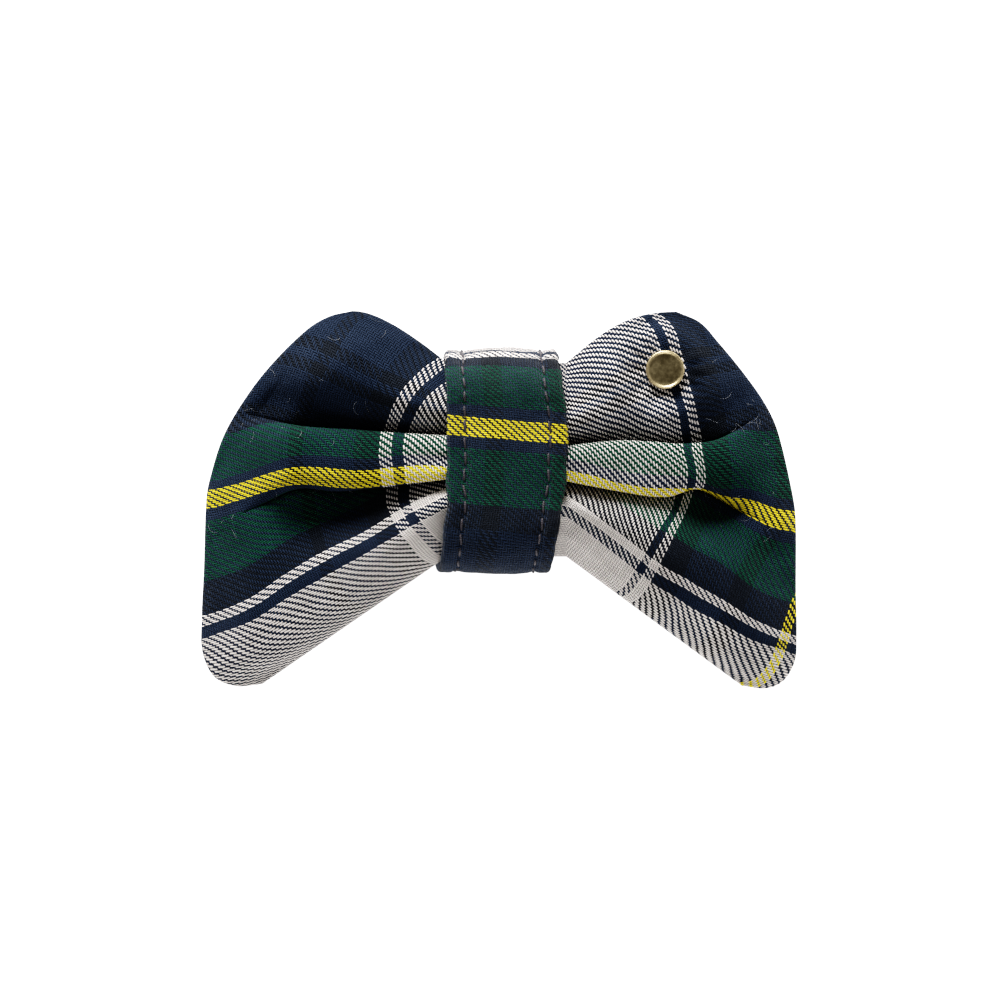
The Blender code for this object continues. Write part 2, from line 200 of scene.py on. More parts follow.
# The band: a strap of folded cloth round the bow's neck, sewn down along both edges. The tables
# give its middle line and half width at heights up the bow, in front and behind.
BandPath = namedtuple("BandPath", "arc y z out_y out_z")
BAND_FRONT = (
    (-0.0130, -0.00027, 0.01000), (-0.0055, 0.00036, 0.01036), (-0.0003, 0.00107, 0.01036),
    (0.0037, 0.00129, 0.01067), (0.0124, 0.00152, 0.01081), (0.0272, 0.00055, 0.01026),
)
BAND_BACK = ((-0.0130, -0.0016, 0.0105), (0.0070, -0.0003, 0.0106), (0.0278, 0.0002, 0.0106))
BAND_STEPS = 264
BAND_TURN_STEPS = 24
BAND_OUTER_POINTS = 64
BAND_INNER_POINTS = 20
BAND_CLUSTER = 0.45
BAND_EDGE_ROUND = 0.0009
BAND_EDGE_WAVE = 0.00010
BAND_EDGE_PITCH = 0.0080
BAND_CROWN = 0.00035        # puff between the stitch rows
BAND_HEM_CROWN = 0.00012    # puff between a row and its edge
BAND_PUCKER = 0.00007
BAND_PUCKER_PITCH = 0.0030
BAND_SOFT = 0.00012
BAND_SOFT_PITCH = 0.0110
BAND_MIDDLE_THREAD = 89.0
BAND_TOP_PINCH = 0.0009     # how far the strap's upper front lies in from the model's
BAND_BACK_LIFT = 0.0006     # room under the strap's back for its puff and its stitches
BAND_TILT = 0.083           # how far the stripes climb across the band
BAND_THREADS = (            # threads at heights of the strap's front
    (-0.0130, 69.0), (-0.0053, 46.0), (-0.0012, 34.0), (0.0088, 10.0), (0.0113, 4.0), (0.0128, 0.0),
    (0.0144, -4.0), (0.0170, -10.0), (0.0240, -34.0), (0.0256, -49.0), (0.02655, -53.4),
)
STITCH_INSET = 0.00325
STITCH_PITCH = 0.0029
STITCH_LENGTH = 0.00245
STITCH_RADIUS = 0.00021
STITCH_SLANT = 0.00010
STITCH_STEPS = 13
STITCH_SIDES = 8
CHANNEL_WIDTH = 0.0007
CHANNEL_DEPTH = 0.00045

# Loose fibres on the cloth
LINT_FIBRES = 110
LINT_STEPS = 12
LINT_LENGTH = (0.0006, 0.0028)
LINT_RADIUS = (0.000008, 0.000015)
LINT_LIFT = 0.00006

# The rivet's turned pieces, as radius and height over the seat in millimetres
TURN_STEPS = 72
CAP_PROFILE = (
    (0.00, 1.02), (0.90, 1.01), (1.70, 1.01), (2.40, 1.02), (2.80, 1.05), (2.98, 1.11),
    (3.08, 1.20), (3.16, 1.26), (3.24, 1.28), (3.33, 1.24), (3.41, 1.14), (3.47, 0.98),
    (3.50, 0.78), (3.49, 0.56), (3.44, 0.40), (3.36, 0.30), (0.00, 0.30),
)
BACK_PROFILE = (
    (0.00, 2.20), (1.10, 2.20), (1.10, -0.30), (3.30, -0.30), (3.42, -0.42), (3.49, -0.60),
    (3.46, -0.82), (3.34, -1.00), (3.10, -1.16), (2.70, -1.30), (2.10, -1.40), (1.30, -1.46),
    (0.60, -1.48), (0.00, -1.48),
)

# The tartan's threads
THREAD_ALONG = 0.0004766    # pitch of the threads that run up the bow, counted along u
THREAD_UP = 0.000429        # pitch of the threads that run along the bow, counted along v

# Threads at the bottom seam and at the top seam, at shares of the wing
SEAM_THREADS = {
    "left": (Bend(0.0, -86.0, 100.9), Bend(0.3, -84.5, 100.9), Bend(0.7, -83.5, 100.9),
             Bend(1.0, -85.0, 100.9)),
    "right": (Bend(0.0, -80.5, 100.9), Bend(0.25, -75.5, 100.9), Bend(0.5, -73.5, 100.9),
              Bend(0.75, -77.0, 100.9), Bend(1.0, -82.5, 100.9)),
}

# Which thread of the cloth lies at the neck and at the outer edge, in millimetres from the
# middle of the cloth's wide white stripe. The places are shares of the neck and of the cloth.
NECK_THREADS = {
    "left": ((0.0, -26.7), (0.31, -18.2), (0.385, -18.2), (0.635, -18.2), (1.0, -28.0)),
    "right": ((0.0, 15.5), (0.277, 9.2), (0.375, 5.3), (0.61, 5.2), (1.0, 11.4)),
}
EDGE_THREADS = {
    "left": ((0.0, -68.8), (0.179, -68.6), (0.457, -61.7), (0.685, -55.8), (1.0, -46.8)),
    "right": ((0.0, 55.0), (0.03, 57.0), (0.08, 58.2), (0.179, 57.2), (0.27, 54.8), (0.457, 47.7),
              (0.685, 42.3), (1.0, 33.2)),
}

# The camera, in metres and millimetres of lens, and the light
CAMERA_PLACE = (0.00018, 0.00009, 0.519)
CAMERA_LENS = 100.0
SENSOR_WIDTH = 36.0
Light = namedtuple("Light", "name place size power")
LIGHTS = (
    Light("key", (-0.12, 0.74, 0.29), 0.34, 16.5), Light("fill", (0.06, -0.60, 0.28), 0.50, 3.0),
)
LIGHT_AIM = (0.0, 0.0, 0.01)
FLOOR_HALF = 1.5
HORIZON_LIGHT = 0.44
ZENITH_LIGHT = 0.12
FLOOR_GLOW = 1.30

# How the picture's tones follow the light: dark cloth a little darker, bright cloth held back
TONES = (
    (0.0, 0.0), (0.01, 0.0034), (0.02, 0.010), (0.04, 0.030), (0.08, 0.080), (0.15, 0.17),
    (0.3, 0.35), (0.5, 0.54), (0.7, 0.67), (0.85, 0.75), (1.0, 0.82),
)

# Yarns, as linear colours
YARNS = {
    "white": (0.80, 0.74, 0.70),
    "green": (0.009, 0.054, 0.034),
    "navy": (0.0160, 0.0245, 0.0440),
    "black": (0.0115, 0.0145, 0.0205),
    "yellow": (0.86, 0.68, 0.040),
}

# The tartan's stripes, as the thread that each one ends before and its yarn
Stripe = namedtuple("Stripe", "end yarn")
STRIPES_UP = (
    Stripe(-60, "white"), Stripe(-54, "navy"), Stripe(-49, "white"), Stripe(-34, "black"),
    Stripe(-9, "green"), Stripe(-4, "navy"), Stripe(4, "yellow"), Stripe(9, "navy"),
    Stripe(34, "green"), Stripe(46, "black"), Stripe(65, "navy"), Stripe(70, "black"),
    Stripe(74, "navy"), Stripe(79, "black"), Stripe(160, "navy"),
)
STRIPES_ALONG = (
    Stripe(-96, "navy"), Stripe(-90, "black"), Stripe(-72, "navy"), Stripe(-62, "black"),
    Stripe(-58, "white"), Stripe(-54, "navy"), Stripe(54, "white"), Stripe(58, "navy"),
    Stripe(62, "white"), Stripe(72, "black"), Stripe(90, "navy"), Stripe(96, "black"),
    Stripe(113, "navy"), Stripe(117, "yellow"), Stripe(140, "navy"),
)


def mix(start, end, share):
    """The value that lies at a share of the way from start to end."""
    return start + (end - start) * share


def smooth_lookup(rows, places):
    """The columns of a table at places in its first column, on a smooth curve through the rows."""
    table = np.array(rows, float)
    places = np.asarray(places, float)
    last = len(table) - 1
    index = np.clip(np.searchsorted(table[:, 0], places, side="left") - 1, 0, last - 1)
    before = table[np.maximum(index - 1, 0)]
    low, high = table[index], table[index + 1]
    after = table[np.minimum(index + 2, last)]
    span = (high - low)[..., :1]
    share = np.clip((places[..., None] - low[..., :1]) / span, 0.0, 1.0)
    slope_low = (high - before) / (high - before)[..., :1] * span
    slope_high = (after - low) / (after - low)[..., :1] * span
    rise = high - low
    value = (
        low
        + slope_low * share
        + (3 * rise - 2 * slope_low - slope_high) * share ** 2
        + (slope_low + slope_high - 2 * rise) * share ** 3
    )
    return [value[..., column] for column in range(1, table.shape[1])]


def roll_off(distance):
    """Padding's share of its full height at a distance in from a seam."""
    share = np.clip(distance / (EDGE_ROLL * SEAM_REACH), 0.0, 1.0)
    settle = SEAM_SLOPE / (SEAM_SLOPE - 1)
    return SEAM_SLOPE * share - (SEAM_SLOPE - 1) * share ** settle


def notch(distance, shoulder):
    """A pleat's share of its full depth at a distance from its floor line."""
    share = np.clip(distance / shoulder, 0.0, 1.0)
    return 1 - np.sqrt(1 - (1 - share) ** 2)


def dent(distance, flat, reach):
    """How far the padding is drawn in at a distance from the rivet, from 1 to 0."""
    share = np.clip((distance - flat) / (reach - flat), 0.0, 1.0)
    return (1 - share ** 2) ** 2


def ripples(x, y, pitch, seed):
    """Seeded soft waves over the plan, about from -1 to 1."""
    chance = np.random.default_rng(SEED + seed)
    total = 0.0
    for _ in range(WAVES):
        heading = chance.uniform(0, 2 * math.pi)
        turns = 2 * math.pi / (pitch * chance.uniform(0.75, 1.35))
        phase = chance.uniform(0, 2 * math.pi)
        total = total + np.sin(turns * (x * math.cos(heading) + y * math.sin(heading)) + phase)
    return total / math.sqrt(WAVES)


def clustered(count, cluster):
    """Shares from 0 to 1 that gather at both ends."""
    even = np.arange(count + 1) / count
    return mix(even, 0.5 - 0.5 * np.cos(math.pi * even), cluster)


def line_values(side, lobes, column):
    """A column of the lines below and above each row's lobe."""
    values = np.array([getattr(line, column) for line in LINES[side]])
    return values[lobes], values[lobes + 1]


def plan_points(side, station, lobes, across):
    """Where points of the cloth lie in the plan, as x and y."""
    neck_share = mix(*line_values(side, lobes, "neck"), across)
    cloth = mix(*line_values(side, lobes, "cloth"), across)
    out, up = smooth_lookup(OUTLINES[side], cloth)
    neck_y = NECK_RISE + (neck_share - 0.5) * NECK_HEIGHT
    edge_x = mix(NECK_X[side], TIP_X[side], out)
    edge_y = (up - 0.5) * BOW_HEIGHT
    bulge = TOP_EDGE_BULGE[side] * np.sin(math.pi * station)
    bulge = bulge + TOP_EDGE_TURN[side] * station ** 4 * (1 - station)
    bulge = bulge * across ** 2 * (lobes == TOP)
    lower, upper = smooth_lookup(BENDS[side], station)
    bend = (
        lower * np.choose(lobes, (across, 1 - across, 0.0))
        + upper * np.choose(lobes, (0.0, across, 1 - across))
    )
    y = mix(neck_y, edge_y, station) + bulge + bend / 1000
    return mix(NECK_X[side], edge_x, station), y


def pleat_depth(line, station):
    """How deep a pleat is at a station of its wing."""
    share = np.maximum(1 - station / line.reach, 0.0)
    return PLEAT_DEPTH * line.depth * share ** line.fade


def local_forms(x, y):
    """The height that the soft ridges and hollows add."""
    total = 0.0
    for form in FORMS:
        cosine, sine = math.cos(math.radians(form.turn)), math.sin(math.radians(form.turn))
        along = ((x - form.x) * cosine + (y - form.y) * sine) / form.along
        across = ((y - form.y) * cosine - (x - form.x) * sine) / form.across
        total = total + form.rise * np.exp(-(along ** 2 + across ** 2) / 2)
    return total


def gathers(station, x, y):
    """Creases that fan out from the neck and fade along the wing."""
    fade = np.clip(1 - station / GATHER_REACH, 0.0, 1.0) ** 1.5
    fan = np.arctan2(y - NECK_RISE, np.abs(x) + NECK_HEIGHT / 4)
    wave = np.sin(GATHERS * 2 * fan + 1.6 * np.sin(5 * fan + np.sign(x)))
    return GATHER_RISE * wave * fade


def padded_heights(side, station, lobes, across):
    """The plan point of the cloth, its front and back heights, and its pleats' sideways shift."""
    x, y = plan_points(side, station, lobes, across)
    out = np.abs(x - NECK_X[side]) / abs(TIP_X[side] - NECK_X[side])
    middle = NECK_MIDDLE - WING_DROOP * out ** DROOP_CURVE
    half = mix(NECK_HALF_DEPTH, WING_THICKNESS / 2, np.minimum(out / CROWN_SETTLES, 1.0))
    edge = plan_points(side, 1.0, lobes, across)
    bottom = plan_points(side, station, np.full_like(lobes, BOTTOM), np.zeros_like(across))
    top = plan_points(side, station, np.full_like(lobes, TOP), np.ones_like(across))
    seam = np.minimum(
        np.hypot(x - bottom[0], y - bottom[1]), np.hypot(x - top[0], y - top[1])
    )
    rim = np.hypot(x - edge[0], y - edge[1])
    near_seam = np.minimum(seam, rim)
    crown = half * roll_off(seam) * roll_off(rim)
    curl = 1 - np.clip(near_seam / SEAM_CURL, 0.0, 1.0)
    crown = crown + SEAM_HALF * np.sqrt(1 - curl ** 2)
    closed = np.clip(near_seam / PUCKER_FADE, 0.0, 1.0)
    soft = SOFT_RISE * ripples(x, y, SOFT_PITCH, 1) * closed
    pucker = PUCKER_RISE * ripples(x, y, PUCKER_PITCH, 2) * np.exp(-near_seam / PUCKER_FADE)
    pucker = pucker * np.clip(near_seam / (PUCKER_FADE / 3), 0.0, 1.0)
    front = middle + crown + soft + pucker + closed * (local_forms(x, y) + gathers(station, x, y))
    back = middle - crown - soft + pucker
    shoulder = mix(SHOULDER_AT_NECK, SHOULDER_AT_END, station)
    ridge = plan_points(side, station, np.full_like(lobes, MIDDLE), np.full_like(across, 0.5))
    shift_x, shift_y = 0.0, 0.0
    for lobe_above in (MIDDLE, TOP):
        line = LINES[side][lobe_above]
        depth = pleat_depth(line, station)
        floor = plan_points(side, station, np.full_like(lobes, lobe_above), np.zeros_like(across))
        away = np.hypot(x - floor[0], y - floor[1])
        within = lobes == MIDDLE
        share = np.clip(away / shoulder, 0.0, 1.0)
        lip = mix((1 - share) ** 3 * LIP_TUCK, shoulder, share ** LIP_POWER) - away
        lip = np.where(share < 1, lip, 0.0) - LIP_OUT * (1 - share)
        rise = LIP_TUCK * notch(away, shoulder * FAR_SHOULDER)
        move = np.where(within, lip, rise) * np.minimum(depth / PLEAT_DEPTH * LIP_FADE, 1.0)
        toward_x, toward_y = ridge[0] - floor[0], ridge[1] - floor[1]
        length = np.hypot(toward_x, toward_y)
        shift_x = shift_x + move * toward_x / length
        shift_y = shift_y + move * toward_y / length
        reach = np.where(within, shoulder, shoulder * FAR_SHOULDER)
        front = front - depth * notch(away, reach)
    fold = BACK_FOLD_DEPTH * (1 - station) ** BACK_FOLD_FADE
    back = back + fold * notch(np.hypot(x - ridge[0], y - ridge[1]), BACK_FOLD_SHOULDER)
    return x, y, front, back, shift_x, shift_y


def rivet_place():
    """Where the rivet is: its x and y, and the heights of its front and back seats."""
    low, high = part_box("rivet_cap")
    seat = low[2] - GAP
    return (low[0] + high[0]) / 2, (low[1] + high[1]) / 2, seat, seat - RIVET_GRIP


def rivet_pinch(x, y, rivet):
    """How far the rivet draws the cloth in, from 1 to 0 in front and behind, and its wrinkles."""
    away = np.hypot(x - rivet[0], y - rivet[1])
    angle = np.arctan2(y - rivet[1], x - rivet[0])
    flat = RIVET_CAP_DIAMETER / 2
    share = np.clip((away - flat) / (RIVET_DENT_FRONT - flat), 0.0, 1.0)
    wave = np.sin(RIVET_WRINKLES * angle + 2.2 * np.sin(2 * angle + 0.7) + 1.4 * np.sin(3 * angle))
    swell = 27 / 4 * share * (1 - share) ** 2
    wrinkles = RIVET_WRINKLE_RISE * wave * swell
    return dent(away, flat, RIVET_DENT_FRONT), dent(away, flat, RIVET_DENT_BACK), wrinkles


def wing_grid(side, rivet):
    """Front points, back points and rows of one wing, from its neck to its outer edge."""
    lobes = np.concatenate([np.full(count, lobe) for lobe, count in enumerate(LOBE_ROWS)] + [[TOP]])
    lobes = lobes.astype(int)
    across = np.concatenate([clustered(count, ROW_CLUSTER)[:-1] for count in LOBE_ROWS] + [[1.0]])
    station = clustered(WING_STATIONS, STATION_CLUSTER)[:, None]
    lobes = np.broadcast_to(lobes, (WING_STATIONS + 1, len(lobes)))
    across = np.broadcast_to(across, lobes.shape)
    station = np.broadcast_to(station, lobes.shape)
    x, y, front, back, shift_x, shift_y = padded_heights(side, station, lobes, across)
    front_pinch, back_pinch, wrinkles = rivet_pinch(x, y, rivet)
    front = front - (front - rivet[2]) * front_pinch + wrinkles
    back = back - (back - rivet[3]) * back_pinch
    front_points = np.stack([x + shift_x, y + shift_y, front], axis=-1)
    back_points = np.stack([x, y, back], axis=-1)
    return station, lobes, across, front_points, back_points


def arc_shares(side, station, points):
    """Each row's share of its section's length, along the cloth and with what the pleats hide."""
    steps = np.linalg.norm(np.diff(points, axis=1), axis=2)
    lower, upper = smooth_lookup(HIDDEN[side], station[:, 0])
    steps[:, LOBE_ROWS[BOTTOM]] += lower * THREAD_UP
    steps[:, LOBE_ROWS[BOTTOM] + LOBE_ROWS[MIDDLE] - 1] += upper * THREAD_UP
    lengths = np.concatenate([np.zeros((len(points), 1)), np.cumsum(steps, axis=1)], axis=1)
    return lengths / lengths[:, -1:]


def thread_places(side, station, lobes, across, points):
    """The thread numbers of a wing's grid: u along the bow and v up it."""
    neck_share = mix(*line_values(side, lobes, "neck"), across)
    cloth = mix(*line_values(side, lobes, "cloth"), across)
    at_neck, = smooth_lookup(NECK_THREADS[side], neck_share)
    at_edge, = smooth_lookup(EDGE_THREADS[side], cloth)
    u = mix(at_neck, at_edge, station) / (THREAD_ALONG * 1000)
    shares = arc_shares(side, station, points)
    shares = shares + (cloth - shares[-1:]) * station ** 2
    bottom, top = smooth_lookup(SEAM_THREADS[side], station)
    return u, mix(bottom, top, shares)


def bow_sections(rivet):
    """The whole bow as grids of front points, back points and thread numbers of both."""
    grids = {}
    for side in ("left", "right"):
        station, lobes, across, front, back = wing_grid(side, rivet)
        front_uv = thread_places(side, station, lobes, across, front)
        back_uv = thread_places(side, station, lobes, across, back)
        grids[side] = [front, back, np.stack(front_uv, -1), np.stack(back_uv, -1)]
    whole = []
    shares = np.arange(1, NECK_STEPS + 1) / (NECK_STEPS + 1)
    for left, right in zip(grids["left"], grids["right"]):
        steps = [mix(left[0], right[0], share) for share in shares]
        whole.append(np.concatenate([left[::-1], np.array(steps), right]))
    return whole


def mesh_object(name, points, faces, uvs=None):
    """A mesh object, with its face corners' thread numbers in a UV map."""
    mesh = bpy.data.meshes.new(name)
    mesh.from_pydata(np.asarray(points).tolist(), [], np.asarray(faces).tolist())
    mesh.update()
    mesh.shade_smooth()
    if uvs is not None:
        layer = mesh.uv_layers.new(name="threads")
        layer.data.foreach_set("uv", np.asarray(uvs, float).ravel())
    piece = bpy.data.objects.new(name, mesh)
    bpy.context.scene.collection.objects.link(piece)
    return piece


def grid_faces(index, uv, turned=False):
    """The faces of a grid of point numbers, and the thread numbers of their corners."""
    steps = ((0, 0), (1, 0), (1, 1), (0, 1))
    if turned:
        steps = steps[::-1]
    rows, columns = index.shape
    corners = [index[i:rows - 1 + i, j:columns - 1 + j] for i, j in steps]
    places = [uv[i:rows - 1 + i, j:columns - 1 + j] for i, j in steps]
    return np.stack(corners, axis=2).reshape(-1, 4), np.stack(places, axis=2).reshape(-1, 2)


def bow_mesh(rivet):
    """The padded bow: a front and a back cloth that share their seams."""
    front, back, front_uv, back_uv = bow_sections(rivet)
    count, rows = front.shape[:2]
    front_index = np.arange(count * rows).reshape(count, rows)
    back_index = front_index + count * rows
    on_seam = np.zeros((count, rows), bool)
    on_seam[:, [0, -1]] = True
    on_seam[[0, -1], :] = True
    back_index = np.where(on_seam, front_index, back_index)
    points = np.concatenate([front.reshape(-1, 3), back.reshape(-1, 3)])
    front_faces, front_uvs = grid_faces(front_index, front_uv)
    back_faces, back_uvs = grid_faces(back_index, back_uv, turned=True)
    used, faces = np.unique(np.concatenate([front_faces, back_faces]), return_inverse=True)
    faces = faces.reshape(-1, 4)
    return mesh_object("bow_cloth", points[used], faces, np.concatenate([front_uvs, back_uvs]))


def band_path():
    """The strap's outer face seen from the side, from the middle of its back up and round."""
    front_y = BAND_HALF_HEIGHT - FRONT_TURN_RADIUS
    back_y = BAND_HALF_HEIGHT - BACK_TURN_RADIUS
    front_z = BAND_DEPTH - FRONT_TURN_RADIUS
    corners = (
        (back_y, BACK_TURN_RADIUS, BACK_TURN_RADIUS, -90),
        (front_y, front_z, FRONT_TURN_RADIUS, 0),
        (-front_y, front_z, FRONT_TURN_RADIUS, 90),
        (-back_y, BACK_TURN_RADIUS, BACK_TURN_RADIUS, 180),
    )
    y, z = [0.0], [0.0]
    for centre_y, centre_z, radius, start in corners:
        angles = np.radians(start + np.linspace(0, 90, BAND_TURN_STEPS + 1))
        y.extend(centre_y + radius * np.cos(angles))
        z.extend(centre_z + radius * np.sin(angles))
    y, z = np.array(y + [0.0]), np.array(z + [0.0])
    length = np.concatenate([[0.0], np.cumsum(np.hypot(np.diff(y), np.diff(z)))])
    arc = np.linspace(0.0, length[-1], BAND_STEPS + 1)
    y, z = np.interp(arc, length, y), np.interp(arc, length, z)
    raised = np.clip((z - BACK_TURN_RADIUS) / BACK_TURN_RADIUS, 0.0, 1.0)
    upper = np.clip(y / front_y - 0.5, 0.0, 1.0)
    raised = (3 - 2 * raised) * raised ** 2
    y = y - BAND_TOP_PINCH * raised * (3 - 2 * upper) * upper ** 2
    z = z + BAND_BACK_LIFT * (1 - raised)
    ahead = np.roll(np.arange(BAND_STEPS), -1)
    behind = np.roll(np.arange(BAND_STEPS), 1)
    along_y, along_z = y[ahead] - y[behind], z[ahead] - z[behind]
    size = np.hypot(along_y, along_z)
    out_y, out_z = along_z / size, -along_y / size
    return BandPath(arc, y + NECK_RISE, z, np.append(out_y, out_y[0]), np.append(out_z, out_z[0]))


def band_frame(path, arc):
    """The strap at arc lengths: y, z, outward direction, and its middle and half width in x."""
    around = np.mod(arc, path.arc[-1])
    y, z, out_y, out_z = (np.interp(around, path.arc, row) for row in path[1:])
    front = smooth_lookup(BAND_FRONT, y)
    back = smooth_lookup(BAND_BACK, y)
    share = np.clip(z / BAND_DEPTH, 0.0, 1.0)
    middle = mix(back[0], front[0], share)
    half = mix(back[1], front[1], share)
    half = half + BAND_EDGE_WAVE * ripples(around, 0 * around, BAND_EDGE_PITCH, 3)
    return y, z, out_y, out_z, middle, half


def band_relief(arc, across, half):
    """How far the strap's sewn face stands over its plain outer face."""
    row = half - STITCH_INSET
    side = np.abs(across)
    inner = np.clip(1 - (side / row) ** 2, 0.0, 1.0)
    outer = np.clip((side - row) / STITCH_INSET, 0.0, 1.0)
    puff = BAND_CROWN * inner ** 0.8 + BAND_HEM_CROWN * np.sin(math.pi * outer)
    pull = 0.75 + 0.25 * np.cos(2 * math.pi * arc / STITCH_PITCH)
    channel = CHANNEL_DEPTH * np.exp(-((side - row) / CHANNEL_WIDTH) ** 2) * pull
    fine = BAND_PUCKER * ripples(arc, across, BAND_PUCKER_PITCH, 4)
    broad = BAND_SOFT * ripples(arc, across, BAND_SOFT_PITCH, 5)
    return puff - channel + fine * (0.4 + 0.6 * outer) + broad


def band_points(path, arc, across, height):
    """Points of the strap, by arc length, metres from its middle line and height over its face."""
    y, z, out_y, out_z, middle, _ = band_frame(path, arc)
    return np.stack([middle + across, y + out_y * height, z + out_z * height], axis=-1)


def band_threads(path, arc, across):
    """The thread numbers of the strap. Its cloth is cut the other way up."""
    heights, threads = np.array(BAND_THREADS).T
    front = path.z > BAND_DEPTH / 2
    places = np.interp(-heights, -path.y[front], path.arc[front])
    rows = np.interp(arc, places[::-1], threads[::-1])
    beyond = np.minimum(arc - places[-1], 0.0) + np.maximum(arc - places[0], 0.0)
    rows = rows + beyond / THREAD_UP - BAND_TILT * across / THREAD_UP
    return np.stack([BAND_MIDDLE_THREAD - across / THREAD_ALONG, rows], axis=-1)


def band_mesh(path):
    """The closed strap of folded cloth, with sewn channels along both edges."""
    share = np.concatenate([
        clustered(BAND_OUTER_POINTS, BAND_CLUSTER), 1 - clustered(BAND_INNER_POINTS, 1.0)[1:]
    ])
    outside = np.arange(len(share)) <= BAND_OUTER_POINTS
    arc = path.arc[:, None]
    half = band_frame(path, arc)[5]
    across = (2 * share - 1) * half
    edge = np.clip((np.abs(across) - half + BAND_EDGE_ROUND) / BAND_EDGE_ROUND, 0.0, 1.0)
    round_share = np.sqrt(1 - edge ** 2)
    outer_height = (round_share - 1) * BAND_WALL / 2 + band_relief(arc, across, half) * round_share
    inner_height = -(round_share + 1) * BAND_WALL / 2
    height = np.where(outside, outer_height, inner_height)
    arc = np.broadcast_to(arc, across.shape)
    points = band_points(path, arc, across, height)
    rows, columns = BAND_STEPS, len(share) - 1
    index = (np.arange(rows + 1) % rows)[:, None] * columns + np.arange(columns + 1) % columns
    faces, uvs = grid_faces(index, band_threads(path, arc, across))
    return mesh_object("band_cloth", points[:-1, :-1].reshape(-1, 3), faces, uvs)


def tube(points, radii, sides):
    """A closed tube along points with a radius at each: its points, faces and corner places."""
    points = np.asarray(points, float)
    radii = np.asarray(radii, float)
    along = np.gradient(points, axis=0)
    along /= np.linalg.norm(along, axis=1, keepdims=True)
    up = np.where(np.abs(along[:, 2:]) > 0.9, [[1.0, 0.0, 0.0]], [[0.0, 0.0, 1.0]])
    first = np.cross(along, up)
    first /= np.linalg.norm(first, axis=1, keepdims=True)
    second = np.cross(along, first)
    angle = 2 * math.pi * np.arange(sides) / sides
    ring = (
        first[:, None] * np.cos(angle)[None, :, None]
        + second[:, None] * np.sin(angle)[None, :, None]
    )
    body = points[:, None] + ring * radii[:, None, None]
    count = len(points)
    index = np.arange(count)[:, None] * sides + np.arange(sides + 1) % sides
    reach = np.concatenate([[0.0], np.cumsum(np.linalg.norm(np.diff(points, axis=0), axis=1))])
    uv = np.stack(np.broadcast_arrays(reach[:, None] * 1000, np.arange(sides + 1) / sides), axis=-1)
    faces, uvs = grid_faces(index, uv)
    return body.reshape(-1, 3), faces, uvs


def tubes_mesh(name, lines, radii, sides):
    """Many small tubes as one mesh."""
    points, faces, uvs, count = [], [], [], 0
    for line, radius in zip(lines, radii):
        new_points, new_faces, new_uvs = tube(line, radius, sides)
        points.append(new_points)
        faces.append(new_faces + count)
        uvs.append(new_uvs)
        count += len(new_points)
    return mesh_object(name, np.concatenate(points), np.concatenate(faces), np.concatenate(uvs))


def stitch_lines(path, side):
    """The small threads of one stitch row, as lines of points with radii."""
    chance = np.random.default_rng(SEED + 10 + side)
    count = round(path.arc[-1] / STITCH_PITCH)
    pitch = path.arc[-1] / count
    along = np.linspace(-1, 1, STITCH_STEPS)
    lines, radii = [], []
    for number in range(count):
        length = STITCH_LENGTH * chance.uniform(0.92, 1.06)
        arc = (number + 0.5 + chance.uniform(-0.05, 0.05)) * pitch + along * length / 2
        half = band_frame(path, arc)[5]
        slant = STITCH_SLANT * (1 + chance.uniform(-0.5, 0.5))
        across = side * (half - STITCH_INSET) + along * slant + chance.uniform(-1, 1) * slant / 3
        height = band_relief(arc, across, half)
        height = height + STITCH_RADIUS * (0.75 - 2.1 * along ** 4)
        lines.append(band_points(path, arc, across, height))
        radii.append(STITCH_RADIUS * np.clip(1 - 0.9 * np.abs(along) ** 7, 0.05, 1.0))
    return lines, radii


def lint_lines(front):
    """Fine loose fibres that cling to the front of the cloth."""
    chance = np.random.default_rng(SEED + 20)
    count, rows = front.shape[:2]
    pleats = (LOBE_ROWS[BOTTOM], LOBE_ROWS[BOTTOM] + LOBE_ROWS[MIDDLE])
    lines, radii = [], []
    along = np.linspace(0, 1, LINT_STEPS)
    flat = front.reshape(-1, 3)
    for number in range(LINT_FIBRES):
        column = int(chance.integers(4, count - 4))
        if number % 3:
            row = int(chance.choice(pleats) + chance.integers(-14, 15))
        else:
            row = int(chance.integers(3, rows - 3))
        start = front[column, row]
        sway = chance.uniform(0, 2 * math.pi)
        bend = chance.uniform(-2.2, 2.2)
        length = chance.uniform(*LINT_LENGTH)
        heading = sway + bend * along
        step = length / (LINT_STEPS - 1)
        x = start[0] + np.cumsum(np.cos(heading)) * step
        y = start[1] + np.cumsum(np.sin(heading)) * step
        near = np.argmin((flat[:, 0, None] - x) ** 2 + (flat[:, 1, None] - y) ** 2, axis=0)
        ground = flat[near, 2]
        ground = np.maximum(ground, np.roll(ground, 1)) + LINT_LIFT
        z = np.convolve(np.pad(ground, 2, mode="edge"), np.ones(5) / 5, mode="valid")
        z = z + chance.uniform(0.0, 0.0004) * np.sin(math.pi * along)
        lines.append(np.stack([x, y, z], axis=-1))
        radii.append(np.full(LINT_STEPS, chance.uniform(*LINT_RADIUS)))
    return lines, radii


